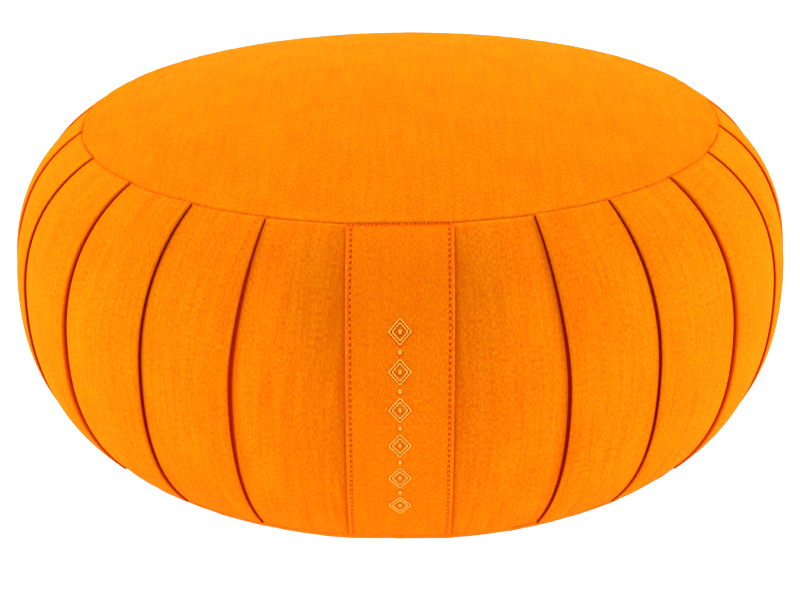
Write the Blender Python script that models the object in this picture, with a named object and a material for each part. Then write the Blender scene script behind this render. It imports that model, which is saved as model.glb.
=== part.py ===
"""A zafu, the round filled cushion for sitting in meditation. A band of canvas laid in knife pleats
runs round the filling between two round panels, and a twill strip covers the join of the band at
the front. The front faces -Y, and the cushion rests on the plane z = 0."""

import math

import bmesh
import bpy
from mathutils import Vector

MM = 0.001

# Sizes in millimetres.
GAP = 0.3
PANEL_THICKNESS = 1.5

WIDEST_RADIUS = 165.0
WIDEST_HEIGHT = 64.2
TOP_SEAM_HEIGHT = 127.3
BOTTOM_SEAM_HEIGHT = 7.9
CROWN_RISE = 22.7
FLAT_BASE_RADIUS = 130.0
# The filling lies unevenly: at this angle to the right and front the top seam stands this much higher.
LEAN = 1.8
LEAN_ANGLE = math.radians(35)

# The side follows a rounded box curve that would close this far above and below its widest ring.
SIDE_CLOSES_ABOVE = 78.4
SIDE_CLOSES_BELOW = 80.0
SIDE_CURVE = 2.215
SIDE_FULLNESS = 4.5
CROWN_CURVE = 1.88
CROWN_EDGE = 1.05
BASE_CURVE = 2.5

# The folds lie low where the seams hold them, and stand high at the belly.
FOLD_AT_SEAM = 0.9
FOLD_AT_BELLY = 2.7
TUCK_AT_BELLY = 3.0
PILLOW_AT_BELLY = 1.2
BELLY_CURVE = 0.7
# At the belly the folds bow this many degrees away from the strip.
FOLD_BOW = 0.7

# Angles in degrees from the front, the same on both sides. Each fold points to the front strip.
FRONT_FOLDS = (21.2, 35.2, 50.7, 66.2, 80.9)
BACK_FOLDS = 6
FOLD_PITCH = 15.0
LAST_FOLD = 171.0

# One pleat, from the nose of its fold to the nose of the next one. The columns are the share of the
# pitch, of the tuck under the next fold, of the fold's height and of the padding's swell.
ACROSS, TUCK, HEIGHT, PILLOW = range(4)
PLEAT_SECTION = (
    (0.000, 0.0, 0.60, 0.0),
    (0.035, 0.0, 1.00, 0.1),
    (0.260, 0.0, 0.82, 0.8),
    (0.530, 0.0, 0.45, 1.0),
    (0.800, 0.0, 0.15, 0.6),
    (0.970, 0.0, 0.00, 0.0),
    (0.995, 1.0, 0.04, 0.0),
    (1.000, 0.9, 0.34, 0.0),
)
# The panel beside the strip has no fold of its own, and lies lower than the others.
FRONT_SECTION = (
    (0.300, 0.0, 0.75, 0.8),
    (0.550, 0.0, 0.60, 1.0),
    (0.800, 0.0, 0.20, 0.6),
) + PLEAT_SECTION[5:]
# The panel at the middle of the back has a fold at both ends.
BACK_SECTION = PLEAT_SECTION[:3] + ((0.600, 0.0, 0.78, 1.0),)

STRIP_HALF_WIDTH = 19.0
STRIP_THICKNESS = 1.6
STRIP_END_THICKNESS = 1.0
STRIP_EDGE_ROUND = 0.5
STRIP_SEAT_MARGIN = 1.0
STRIP_END_CLEARANCE = 0.4

SIDE_ROWS = 12
ROUND_SIDES = 72
TOP_ROWS = (0.18, 0.38, 0.57, 0.74, 0.88, 0.96, 1.0)
# Rows of the curve between the flat base and the bottom seam, as shares of the way.
BASE_ROWS = (0.0, 0.3, 0.55, 0.78, 1.0)

CANVAS_ORANGE = (0.93, 0.215, 0.004, 1.0)
TWILL_ORANGE = (0.88, 0.175, 0.004, 1.0)
CANVAS_ROUGHNESS = 0.9
TWILL_ROUGHNESS = 0.8
SMOOTH_UNDER = math.radians(40)


def side_radius(height):
    """Radius of the side at a height."""
    closes = SIDE_CLOSES_ABOVE if height > WIDEST_HEIGHT else SIDE_CLOSES_BELOW
    share = abs(height - WIDEST_HEIGHT) / closes
    return WIDEST_RADIUS * (1 - share**SIDE_CURVE) ** (1 / SIDE_FULLNESS)


TOP_SEAM_RADIUS = side_radius(TOP_SEAM_HEIGHT)
BOTTOM_SEAM_RADIUS = side_radius(BOTTOM_SEAM_HEIGHT)


def crown_height(share):
    """Height of the top at a share of the way from its middle to the seam."""
    return TOP_SEAM_HEIGHT + CROWN_RISE * (1 - share**CROWN_CURVE) ** CROWN_EDGE


def base_point(share, depth):
    """(radius, height) on the curve from the flat base to the bottom seam, this deep in the cushion."""
    width = BOTTOM_SEAM_RADIUS - FLAT_BASE_RADIUS
    slope = BASE_CURVE * BOTTOM_SEAM_HEIGHT * share ** (BASE_CURVE - 1) / width
    length = math.hypot(1, slope)
    radius = FLAT_BASE_RADIUS + width * share - depth * slope / length
    return radius, BOTTOM_SEAM_HEIGHT * share**BASE_CURVE + depth / length


def belly(share):
    """0 at the two seams and 1 at the middle of the side."""
    return math.sin(math.pi * share) ** BELLY_CURVE


def side_rows(count, steps=600):
    """Rows evenly spaced up the curve of the side, as (share of the way, radius, height)."""
    rise = TOP_SEAM_HEIGHT - BOTTOM_SEAM_HEIGHT
    heights = [BOTTOM_SEAM_HEIGHT + rise * i / steps for i in range(steps + 1)]
    walked = [0.0]
    for low, high in zip(heights, heights[1:]):
        walked.append(walked[-1] + math.hypot(high - low, side_radius(high) - side_radius(low)))
    rows = []
    for i in range(count + 1):
        goal = walked[-1] * i / count
        nearest = min(range(steps + 1), key=lambda j: abs(walked[j] - goal))
        rows.append((i / count, side_radius(heights[nearest]), heights[nearest]))
    return rows


def outward(height, step=0.01):
    """The direction that faces out of the side at a height, as (along the radius, up)."""
    slope = (side_radius(height + step) - side_radius(height - step)) / (2 * step)
    length = math.hypot(1, slope)
    return 1 / length, -slope / length


def strip_seat(radius):
    """(angle of its edge, distance from the middle) of the flat behind the front strip."""
    half_width = STRIP_HALF_WIDTH + STRIP_SEAT_MARGIN
    return math.degrees(math.asin(half_width / radius)), math.sqrt(radius**2 - half_width**2)


def flattened(angle, radius):
    """Radius at an angle of a circle that is cut straight across behind the front strip."""
    seat_angle, seat_distance = strip_seat(radius)
    if abs(angle) >= seat_angle:
        return radius
    return seat_distance / math.cos(math.radians(angle))


def settled(x, y, height):
    """The point in metres, with the cushion's slight lean. The flat base stays flat."""
    across = x * math.cos(LEAN_ANGLE) - y * math.sin(LEAN_ANGLE)
    lean = LEAN * (across / TOP_SEAM_RADIUS) * (height / TOP_SEAM_HEIGHT)
    return Vector((x, y, height + lean)) * MM


def around(angle, radius, height):
    """The point at an angle from the front."""
    turn = math.radians(angle)
    return settled(radius * math.sin(turn), -radius * math.cos(turn), height)


def fold_angles():
    hidden = [LAST_FOLD - FOLD_PITCH * step for step in range(BACK_FOLDS)]
    return list(FRONT_FOLDS) + hidden[::-1]


def pleat_points(section, start, pitch, share, radius):
    """(angle, rise over the curve of the side) of a pleat's points in one row."""
    start += FOLD_BOW * belly(share)
    fold = FOLD_AT_SEAM + (FOLD_AT_BELLY - FOLD_AT_SEAM) * belly(share)
    tuck = math.degrees(TUCK_AT_BELLY * belly(share) / radius)
    pillow = PILLOW_AT_BELLY * belly(share)
    sink = FOLD_AT_BELLY * belly(share)
    points = []
    for point in section:
        angle = start + pitch * point[ACROSS] + tuck * point[TUCK]
        points.append((angle, fold * point[HEIGHT] + pillow * point[PILLOW] - sink))
    return points


def half_ring(share, radius):
    """(angle, rise) of one row of the side, from the strip's edge round to the middle of the back."""
    folds = fold_angles()
    first_pitch = folds[1] - folds[0]
    points = [(strip_seat(radius)[0], 0.0)]
    points += pleat_points(FRONT_SECTION, folds[0] - first_pitch, first_pitch, share, radius)
    for start, end in zip(folds, folds[1:]):
        points += pleat_points(PLEAT_SECTION, start, end - start, share, radius)
    points += pleat_points(BACK_SECTION, folds[-1], FOLD_PITCH, share, radius)
    points[-1] = (180.0, points[-1][1])
    return points


def side_ring(share, radius, height):
    """One row of the pleated side, all the way round from the strip's edge."""
    half = half_ring(share, radius)
    mirrored = [(-angle, rise) for angle, rise in half[-2::-1]]
    out, up = outward(height)
    return [around(angle, radius + out * rise, height + up * rise) for angle, rise in half + mirrored]


def round_ring(radius, height):
    """A plain row of a round panel, straight behind the strip."""
    angles = [360 * side / ROUND_SIDES - 180 for side in range(ROUND_SIDES)]
    return [around(angle, flattened(angle, radius), height) for angle in angles]


def add_ring(bm, points):
    return [bm.verts.new(point) for point in points]


def skin(bm, rings):
    """Faces between rings that have the same number of points."""
    for lower, upper in zip(rings, rings[1:]):
        for i in range(len(lower)):
            j = (i + 1) % len(lower)
            bm.faces.new((lower[i], lower[j], upper[j], upper[i]))


def close_with_pole(bm, ring, point):
    pole = bm.verts.new(point)
    for i in range(len(ring)):
        bm.faces.new((ring[i], ring[(i + 1) % len(ring)], pole))


def ring_edges(bm, ring):
    return [bm.edges.get((ring[i - 1], ring[i])) for i in range(len(ring))]


def bridge(bm, ring, other):
    """Faces between two rings that differ in their number of points."""
    bmesh.ops.bridge_loops(bm, edges=ring_edges(bm, ring) + ring_edges(bm, other))


def finished(name, bm, material):
    """The object of a bmesh, with its faces out and its round surfaces smooth."""
    bmesh.ops.recalc_face_normals(bm, faces=bm.faces)
    mesh = bpy.data.meshes.new(name)
    bm.to_mesh(mesh)
    bm.free()
    mesh.shade_smooth()
    mesh.set_sharp_from_angle(angle=SMOOTH_UNDER)
    mesh.materials.append(material)
    piece = bpy.data.objects.new(name, mesh)
    bpy.context.scene.collection.objects.link(piece)
    return piece


def cloth(name, colour, roughness):
    material = bpy.data.materials.new(name)
    material.use_nodes = True
    shader = material.node_tree.nodes["Principled BSDF"]
    shader.inputs["Base Color"].default_value = colour
    shader.inputs["Roughness"].default_value = roughness
    shader.inputs["Metallic"].default_value = 0.0
    return material


def base_rings(bm, depth, margin=0.0):
    """The underside's rows, from its flat out to the seam, this deep and this far short of the seam."""
    width = BOTTOM_SEAM_RADIUS - FLAT_BASE_RADIUS
    last = 1 - margin / math.hypot(width, BASE_CURVE * BOTTOM_SEAM_HEIGHT)
    return [add_ring(bm, round_ring(*base_point(share * last, depth))) for share in BASE_ROWS]


def top_rings(bm, depth, margin=0.0):
    """The top's rows, from near its middle out to the seam, this deep and this far short of the seam."""
    rings = []
    for row in TOP_ROWS:
        share = row * (1 - margin / TOP_SEAM_RADIUS)
        height = crown_height(share) - depth
        rings.append(add_ring(bm, round_ring(share * TOP_SEAM_RADIUS, height)))
    return rings


def pleated_side(material):
    """The filled body, with a ledge at each seam where a round panel lies over the filling."""
    bm = bmesh.new()
    under_panel = PANEL_THICKNESS + GAP
    base = base_rings(bm, under_panel)
    side = [add_ring(bm, side_ring(*row)) for row in side_rows(SIDE_ROWS)]
    top = top_rings(bm, under_panel)
    for rings in (base, side, top):
        skin(bm, rings)
    bm.faces.new(base[0])
    close_with_pole(bm, top[0], around(0, 0, crown_height(0) - under_panel))
    bridge(bm, base[-1], side[0])
    bridge(bm, side[-1], top[-1])
    return finished("pleated_side", bm, material)


def top_panel(material):
    bm = bmesh.new()
    outer = top_rings(bm, 0, GAP)
    inner = top_rings(bm, PANEL_THICKNESS, GAP)
    skin(bm, outer + inner[::-1])
    close_with_pole(bm, outer[0], around(0, 0, crown_height(0)))
    close_with_pole(bm, inner[0], around(0, 0, crown_height(0) - PANEL_THICKNESS))
    return finished("top_panel", bm, material)


def bottom_panel(material):
    bm = bmesh.new()
    outer = base_rings(bm, 0, GAP)
    inner = base_rings(bm, PANEL_THICKNESS, GAP)
    skin(bm, outer + inner[::-1])
    bm.faces.new(outer[0])
    bm.faces.new(inner[0])
    return finished("bottom_panel", bm, material)


def strip_ring(radius, height, thickness):
    """One row of the strip: a flat section with its two outer edges rounded off."""
    out, up = outward(height)
    distance = strip_seat(radius)[1]
    section = (
        (-STRIP_HALF_WIDTH, GAP),
        (-STRIP_HALF_WIDTH, GAP + thickness - STRIP_EDGE_ROUND),
        (-STRIP_HALF_WIDTH + STRIP_EDGE_ROUND, GAP + thickness),
        (STRIP_HALF_WIDTH - STRIP_EDGE_ROUND, GAP + thickness),
        (STRIP_HALF_WIDTH, GAP + thickness - STRIP_EDGE_ROUND),
        (STRIP_HALF_WIDTH, GAP),
    )
    return [settled(x, -(distance + out * rise), height + up * rise) for x, rise in section]


def moved_towards(ring, other, distance):
    """The ring, this many millimetres nearer to the other one."""
    share = distance * MM / (other[0] - ring[0]).length
    return [point.lerp(goal, share) for point, goal in zip(ring, other)]


def front_strip(material):
    """The strip lies on the flat of the side, and stops just short of both seams."""
    rows = side_rows(SIDE_ROWS)
    rings = []
    for row, (_, radius, height) in enumerate(rows):
        at_end = row in (0, len(rows) - 1)
        rings.append(strip_ring(radius, height, STRIP_END_THICKNESS if at_end else STRIP_THICKNESS))
    rings[0] = moved_towards(rings[0], rings[1], STRIP_END_CLEARANCE)
    rings[-1] = moved_towards(rings[-1], rings[-2], STRIP_END_CLEARANCE)
    bm = bmesh.new()
    loops = [add_ring(bm, ring) for ring in rings]
    skin(bm, loops)
    bm.faces.new(loops[0])
    bm.faces.new(loops[-1])
    return finished("front_strip", bm, material)


def main():
    for old in list(bpy.data.objects):
        bpy.data.objects.remove(old)
    canvas = cloth("orange canvas", CANVAS_ORANGE, CANVAS_ROUGHNESS)
    twill = cloth("orange twill", TWILL_ORANGE, TWILL_ROUGHNESS)
    pleated_side(canvas)
    top_panel(canvas)
    bottom_panel(canvas)
    front_strip(twill)


main()
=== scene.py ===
# %% [markdown]
# # A zafu in orange canvas
#
# A zafu is the round cushion that people sit on to meditate. A maker cuts two rounds of canvas, lays
# one long band in knife pleats between them, fills the bag with husks until it stands firm, and sews
# a twill strip down the front over the join of the band.
#
# This script dresses a measured model of that cushion. The model is loaded first as a fixed frame:
# it gives the sizes, and every piece below takes the place of one of its solids.

# %% Load the frame
import math
import random

import bmesh
import bpy
import numpy as np
from mathutils import Matrix, Vector


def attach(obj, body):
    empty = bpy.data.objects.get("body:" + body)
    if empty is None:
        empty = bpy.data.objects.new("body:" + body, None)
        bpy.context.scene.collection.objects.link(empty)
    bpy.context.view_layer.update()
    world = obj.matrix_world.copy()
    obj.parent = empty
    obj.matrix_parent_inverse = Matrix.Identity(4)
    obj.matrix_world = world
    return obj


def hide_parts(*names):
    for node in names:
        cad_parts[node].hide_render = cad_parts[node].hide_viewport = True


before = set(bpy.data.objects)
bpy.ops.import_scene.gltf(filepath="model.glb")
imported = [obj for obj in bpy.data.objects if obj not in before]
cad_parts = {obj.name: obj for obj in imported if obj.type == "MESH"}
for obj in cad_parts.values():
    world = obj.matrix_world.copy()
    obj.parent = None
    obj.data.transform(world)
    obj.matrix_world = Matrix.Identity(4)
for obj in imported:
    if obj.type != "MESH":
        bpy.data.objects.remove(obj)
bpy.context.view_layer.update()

# %% [markdown]
# ## The shape of the bag
#
# A stuffed bag has no straight lines, so its outline is a formula. The side is a rounded box curve,
# the crown is a low dome and the base is flat with a short curve up to its seam. Every piece reads
# the same few functions, which is why they meet. The work is in arrays, so that one call places a
# whole row of points.

# %% Sizes of the bag
MM = 0.001

WIDEST_RADIUS = 165.0 * MM
WIDEST_HEIGHT = 64.2 * MM
TOP_SEAM_HEIGHT = 127.3 * MM
BOTTOM_SEAM_HEIGHT = 7.9 * MM
CROWN_RISE = 22.7 * MM
FLAT_BASE_RADIUS = 130.0 * MM
LEAN = 1.8 * MM
LEAN_ANGLE = math.radians(35)

SIDE_CLOSES_ABOVE = 78.4 * MM
SIDE_CLOSES_BELOW = 80.0 * MM
SIDE_CURVE = 2.215
SIDE_FULLNESS = 4.5
CROWN_CURVE = 1.88
CROWN_EDGE = 1.05
BASE_CURVE = 2.5

STRIP_HALF_WIDTH = 19.0 * MM
STRIP_SEAT = 20.0 * MM


# %% Outline of the side, the crown and the base
def side_radius(height):
    closes = np.where(height > WIDEST_HEIGHT, SIDE_CLOSES_ABOVE, SIDE_CLOSES_BELOW)
    share = np.abs(height - WIDEST_HEIGHT) / closes
    return WIDEST_RADIUS * (1 - share**SIDE_CURVE) ** (1 / SIDE_FULLNESS)


def crown_height(share):
    return TOP_SEAM_HEIGHT + CROWN_RISE * (1 - share**CROWN_CURVE) ** CROWN_EDGE


TOP_SEAM_RADIUS = float(side_radius(TOP_SEAM_HEIGHT))
BOTTOM_SEAM_RADIUS = float(side_radius(BOTTOM_SEAM_HEIGHT))


def base_height(radius):
    share = np.clip((radius - FLAT_BASE_RADIUS) / (BOTTOM_SEAM_RADIUS - FLAT_BASE_RADIUS), 0, 1)
    return BOTTOM_SEAM_HEIGHT * share**BASE_CURVE


def outward(height):
    """The direction that faces out of the side, as (along the radius, up)."""
    step = 0.01 * MM
    slope = (side_radius(height + step) - side_radius(height - step)) / (2 * step)
    length = np.hypot(1, slope)
    return 1 / length, -slope / length


def side_rows(count):
    """(share of the way, height) of rows that are evenly spaced up the curve of the side."""
    heights = np.linspace(BOTTOM_SEAM_HEIGHT, TOP_SEAM_HEIGHT, 2000)
    steps = np.hypot(np.diff(heights), np.diff(side_radius(heights)))
    walked = np.concatenate(([0], np.cumsum(steps)))
    shares = np.linspace(0, 1, count)
    return shares, np.interp(shares * walked[-1], walked, heights), walked[-1]


print("top seam radius in mm:", round(TOP_SEAM_RADIUS / MM, 1))
print("bottom seam radius in mm:", round(BOTTOM_SEAM_RADIUS / MM, 1))


# %% The strip's flat and the lean of the filling
def flattened(angle, radius):
    """Radius of a circle that is cut straight across behind the front strip."""
    seat_angle = np.arcsin(STRIP_SEAT / radius)
    chord = np.sqrt(radius**2 - STRIP_SEAT**2)
    near = np.abs(angle) < seat_angle
    return np.where(near, chord / np.cos(np.where(near, angle, 0)), radius)


def leaned(points):
    """Points with the slight lean that the filling has taken, higher to the right and the front."""
    x, y, z = points[..., 0], points[..., 1], points[..., 2]
    across = (x * math.cos(LEAN_ANGLE) - y * math.sin(LEAN_ANGLE)) / TOP_SEAM_RADIUS
    return np.stack([x, y, z + LEAN * across * z / TOP_SEAM_HEIGHT], axis=-1)


def around(angle, radius, height):
    """Points at an angle in radians from the front, which faces -Y."""
    spread = np.broadcast_arrays(radius * np.sin(angle), -radius * np.cos(angle), height)
    return leaned(np.stack(spread, axis=-1))


# %% [markdown]
# ## One knife pleat
#
# A knife pleat is a flat fold of cloth that lies over its neighbour. On this cushion every fold
# points to the front strip, so the left side mirrors the right one. The seams press the folds flat,
# and over the belly, where the bag is wider, they stand open and show a deep crease.
#
# The table below is one pleat seen from above, from the nose of its fold to the nose of the next.
# A smooth curve through its rows gives as many columns of mesh as each stretch needs. That keeps
# the crease crisp without a fine mesh all over.

# %% The pleat's section
# ACROSS is a share of the pitch, SHIFT is in mm, TUCK is a share of the tuck under the next fold,
# HEIGHT is a share of the fold's height, PILLOW is a share of the swell, DIP is in mm, the next
# column is how much painted shade, a deep red, the cloth gets in and beside the crease and along the
# nose, and COLUMNS is how many columns of mesh lead to the next row.
ACROSS, SHIFT, TUCK, HEIGHT, PILLOW, DIP, CREASE_SHADE, COLUMNS = range(8)
PLEAT = (
    (0.000, -0.05, 0.00, 0.78, 0.00, 0.00, 0.68, 2),
    (0.000, 0.05, 0.00, 0.92, 0.00, 0.00, 0.34, 2),
    (0.000, 0.35, 0.00, 0.99, 0.02, 0.00, 0.06, 2),
    (0.000, 1.40, 0.00, 1.01, 0.10, 0.00, 0.00, 3),
    (0.200, 0.00, 0.00, 0.90, 0.70, 0.00, 0.00, 3),
    (0.400, 0.00, 0.00, 0.72, 1.00, 0.00, 0.00, 3),
    (0.600, 0.00, 0.00, 0.54, 0.95, 0.00, 0.00, 3),
    (0.800, 0.00, 0.00, 0.42, 0.55, 0.00, 0.00, 3),
    (0.900, 0.00, 0.00, 0.40, 0.22, 0.00, 0.00, 2),
    (1.000, -1.50, 0.00, 0.42, 0.03, 0.00, 0.08, 2),
    (1.000, -0.72, 0.00, 0.40, 0.00, -0.08, 0.50, 2),
    (1.000, -0.58, 0.00, 0.36, 0.00, -0.45, 0.75, 2),
    (1.000, -0.35, 0.00, 0.32, 0.00, -1.20, 1.00, 2),
    (1.000, 0.00, 0.05, 0.28, 0.00, -2.00, 1.00, 2),
    (1.000, 0.00, 0.40, 0.24, 0.00, -2.60, 1.00, 2),
    (1.000, 0.00, 0.80, 0.20, 0.00, -2.90, 1.00, 1),
    (1.000, 0.00, 0.80, 0.26, 0.00, -2.50, 1.00, 2),
    (1.000, 0.00, 0.50, 0.34, 0.00, -1.30, 1.00, 2),
    (1.000, 0.35, 0.10, 0.50, 0.00, -0.45, 0.95, 2),
    (1.000, 0.28, 0.00, 0.66, 0.00, 0.00, 0.95, 2),
)
# Beside the strip, the front panel's shade column paints shade along the strip's edge.
FRONT_PANEL = (
    (0.000, -0.80, 0.00, 0.56, 0.05, -0.20, 0.45, 2),
    (0.000, -0.45, 0.00, 0.57, 0.07, -0.12, 0.30, 2),
    (0.000, 0.10, 0.00, 0.58, 0.10, -0.04, 0.16, 2),
    (0.000, 1.00, 0.00, 0.61, 0.18, 0.00, 0.10, 2),
    (0.120, 0.00, 0.00, 0.70, 0.60, 0.00, 0.05, 3),
    (0.330, 0.00, 0.00, 0.76, 1.20, 0.00, 0.00, 3),
    (0.550, 0.00, 0.00, 0.66, 1.50, 0.00, 0.00, 3),
    (0.780, 0.00, 0.00, 0.48, 1.00, 0.00, 0.00, 3),
) + PLEAT[8:]
BACK_PANEL = PLEAT[:4] + (
    (0.200, 0.00, 0.00, 0.92, 0.70, 0.00, 0.00, 3),
    (0.400, 0.00, 0.00, 0.86, 1.00, 0.00, 0.00, 3),
    (0.600, 0.00, 0.00, 0.84, 1.05, 0.00, 0.00, 0),
)


def moved_on(row, pitches):
    return (row[ACROSS] + pitches,) + row[1:]


def smooth_columns(before, rows, after):
    """Columns on a smooth curve through the rows of a section, led in and out by two more rows."""
    keys = [before, *rows, after]
    made = []
    for i in range(1, len(keys) - 2):
        p0, p1, p2, p3 = (np.array(key[:COLUMNS]) for key in keys[i - 1 : i + 3])
        for step in range(keys[i][COLUMNS]):
            t = step / keys[i][COLUMNS]
            turn = 2 * p1 + (p2 - p0) * t + (2 * p0 - 5 * p1 + 4 * p2 - p3) * t**2
            made.append((turn + (3 * p1 - p0 - 3 * p2 + p3) * t**3) / 2)
    return made


NEXT_NOSE = moved_on(PLEAT[0], 1)
pleat_columns = smooth_columns(moved_on(PLEAT[-1], -1), PLEAT + (NEXT_NOSE,), moved_on(PLEAT[1], 1))
front_columns = smooth_columns(FRONT_PANEL[0], FRONT_PANEL + (NEXT_NOSE,), moved_on(PLEAT[1], 1))
back_columns = smooth_columns(moved_on(PLEAT[-1], -1), BACK_PANEL, BACK_PANEL[-1])
print("columns in a pleat:", len(pleat_columns))

# %% [markdown]
# ## The pleated band
#
# The band starts as what it is on the cutting table: a flat rectangle. `create_grid` makes it, with
# one column of points for each column of the section, and each point is then carried to its place
# on the bag. Cutting it flat first has a second use. The cloth keeps its own coordinates in metres
# in a UV map, so the weave later runs over the folds at its true size.

# %% Sizes of the folds
FRONT_FOLDS = (21.2, 34.9, 50.0, 65.2, 80.4)
BACK_FOLDS = 6
FOLD_PITCH = 15.0
LAST_FOLD = 171.0
FRONT_BOWS = (0.7, 1.0, 2.0, 2.9, 1.5)
OPENINGS = (1.8, 1.35)
BACK_BOW = 0.7
FOLD_AT_SEAM = 1.1 * MM
BACK_FOLD_AT_SEAM = 0.35 * MM
FOLD_AT_BELLY = 2.2 * MM
TUCK_AT_BELLY = 3.2 * MM
TUCK_AT_SEAM = 0.5 * MM
DIP_AT_SEAM = 0.35
SHIFT_AT_SEAM = 0.6
LEFT_OF_STRIP = 0.55
PILLOW_AT_BELLY = 1.2 * MM
BELLY_CURVE = 0.7
CUT_PLEAT = 58.9 * MM

BAND_ROWS = 85
BED_COLUMNS = 4

fold_angles = list(FRONT_FOLDS) + [LAST_FOLD - FOLD_PITCH * step for step in reversed(range(BACK_FOLDS))]
fold_bows = list(FRONT_BOWS) + [BACK_BOW] * BACK_FOLDS
print("folds on each side:", len(fold_angles), "at", fold_angles)


# %% Which pleat each column belongs to
def half_columns():
    """(pleat, values) from the middle of the front to the middle of the back. -2 is under the strip."""
    made = [(-2, np.array([step / BED_COLUMNS, 0, 0, 0, 0, 0, 0])) for step in range(BED_COLUMNS)]
    made += [(-1, values) for values in front_columns]
    for pleat in range(len(fold_angles) - 1):
        made += [(pleat, values) for values in pleat_columns]
    made += [(len(fold_angles) - 1, values) for values in back_columns]
    made.append((len(fold_angles) - 1, np.array(BACK_PANEL[-1][:COLUMNS])))
    return made


half = half_columns()
band_columns = [(-1, *column) for column in half[:0:-1]] + [(1, *column) for column in half]
side_of = np.array([column[0] for column in band_columns])
pleat_of = np.array([column[1] for column in band_columns])
section_of = np.array([column[2] for column in band_columns])
print("columns in the whole band:", len(band_columns))

# %% How evenly the folds were laid
rng = random.Random(11)
PLEATS = range(-2, len(fold_angles))
hand = {(side, pleat): [rng.uniform(-1, 1) for _ in range(4)] for side in (-1, 1) for pleat in PLEATS}
# The two halves meet at the middle of the back, so its one panel has the same hand on both sides.
hand[-1, PLEATS[-1]] = hand[1, PLEATS[-1]]
hand_of = np.array([hand[side, pleat] for side, pleat in zip(side_of, pleat_of)])
FOLD_WOBBLE = math.radians(0.16)
HEIGHT_WOBBLE = 0.10
PILLOW_WOBBLE = 0.25


def lumps(angle, share):
    """The husks press out a few soft lumps, which fade out at the seams."""
    slow = np.sin(3 * angle + 0.8) * np.sin(4.1 * share + 0.4)
    quick = np.sin(11 * angle + 2.0) * np.sin(9.0 * share + 1.3) + np.sin(17 * angle - 1.0 + 5.0 * share)
    return (0.35 * MM * slow + 0.12 * MM * quick) * np.sin(math.pi * share)


# %% Place the band's points
def fold_starts(height, belly, first_bow):
    """Start angle and pitch of each pleat at one row, in radians."""
    seat = math.asin(STRIP_SEAT / side_radius(height))
    noses = [math.radians(angle + bow * belly) for angle, bow in zip(fold_angles, fold_bows)]
    noses[0] = math.radians(fold_angles[0] + fold_bows[0] * first_bow)
    starts = {-2: 0.0, -1: seat}
    pitches = {-2: seat, -1: noses[0] - seat}
    for pleat, nose in enumerate(noses):
        starts[pleat] = nose
        after = noses[pleat + 1] if pleat + 1 < len(noses) else nose + (math.pi - nose) / BACK_PANEL[-1][ACROSS]
        pitches[pleat] = after - nose
    return starts, pitches


def band_row(share, height):
    """All points of one row of the band."""
    belly = math.sin(math.pi * share) ** BELLY_CURVE
    radius = float(side_radius(height))
    first_bow = math.sin(math.pi * share) ** (4 if share > 0.5 else 1.2)
    starts, pitches = fold_starts(height, belly, first_bow)
    start = np.array([starts[pleat] for pleat in pleat_of])
    pitch = np.array([pitches[pleat] for pleat in pleat_of])
    tuck = TUCK_AT_SEAM + (TUCK_AT_BELLY - TUCK_AT_SEAM) * belly**0.6
    wide = np.array([OPENINGS[pleat + 1] if -1 <= pleat < len(OPENINGS) - 1 else 1 for pleat in pleat_of])
    opening = np.where(section_of[:, ACROSS] > 0.5, wide, 1)
    sideways = section_of[:, SHIFT] * MM * (SHIFT_AT_SEAM + (opening - SHIFT_AT_SEAM) * belly)
    sideways = sideways + section_of[:, TUCK] * tuck
    angle = start + pitch * section_of[:, ACROSS] + sideways / radius
    wander = FOLD_WOBBLE * (hand_of[:, 0] * belly + 0.5 * np.sin(7 * share + 6 * hand_of[:, 1]) * belly)
    free = (pleat_of >= 0) & (pleat_of < len(fold_angles) - 1)
    seam_fold = np.where(pleat_of < len(FRONT_FOLDS), FOLD_AT_SEAM, BACK_FOLD_AT_SEAM)
    angle = angle + np.where(free, wander, 0)
    fold = (seam_fold + (FOLD_AT_BELLY - seam_fold) * belly) * (1 + HEIGHT_WOBBLE * hand_of[:, 2] * free)
    pillow = PILLOW_AT_BELLY * belly * (1 + PILLOW_WOBBLE * hand_of[:, 3])
    rise = fold * section_of[:, HEIGHT] + pillow * section_of[:, PILLOW] - FOLD_AT_BELLY * belly
    dip = section_of[:, DIP] * MM * np.where((pleat_of == -1) & (side_of < 0), LEFT_OF_STRIP, 1)
    rise = rise + dip * (DIP_AT_SEAM + (1 - DIP_AT_SEAM) * belly)
    rise = np.where(pleat_of == -2, -0.3 * MM, rise) + lumps(side_of * angle, share) * (pleat_of != -2)
    out, up = outward(height)
    return around(side_of * angle, flattened(angle, radius) + out * rise, height + up * rise)


band_shares, band_heights, band_length = side_rows(BAND_ROWS)
band_points = np.array([band_row(share, height) for share, height in zip(band_shares, band_heights)])
print("band height along the cloth in mm:", round(band_length / MM, 1))


# %% Cut the band flat, then carry it to the bag
def grid_places(bm, columns, rows):
    """(row, column) of each point of a fresh grid, from where it lies."""
    places = {}
    for vert in bm.verts:
        column = round((vert.co.x + 0.5) * (columns - 1))
        places[vert] = (round((vert.co.y + 0.5) * (rows - 1)), column)
    return places


def flat_cut(columns, rows):
    bm = bmesh.new()
    bm.loops.layers.uv.new("cloth")
    bm.verts.layers.float.new("fold")
    bmesh.ops.create_grid(bm, x_segments=columns - 1, y_segments=rows - 1, size=0.5, calc_uvs=True)
    return bm, grid_places(bm, columns, rows)


bm, places = flat_cut(len(band_columns), BAND_ROWS)
painted_shade_layer = bm.verts.layers.float["fold"]
for vert, (row, column) in places.items():
    vert.co = band_points[row, column]
    # Painted crease shade for each column, from the section's table.
    vert[painted_shade_layer] = min(1, max(0, section_of[column, CREASE_SHADE]))

# %% The band's own coordinates, for the weave
run = np.linalg.norm(np.diff(band_points, axis=1), axis=2)
walked = np.concatenate([np.zeros((BAND_ROWS, 1)), np.cumsum(run, axis=1)], axis=1)
panel_names = side_of * (pleat_of + 3)
PANEL_MIDDLE = 0.45


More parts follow.
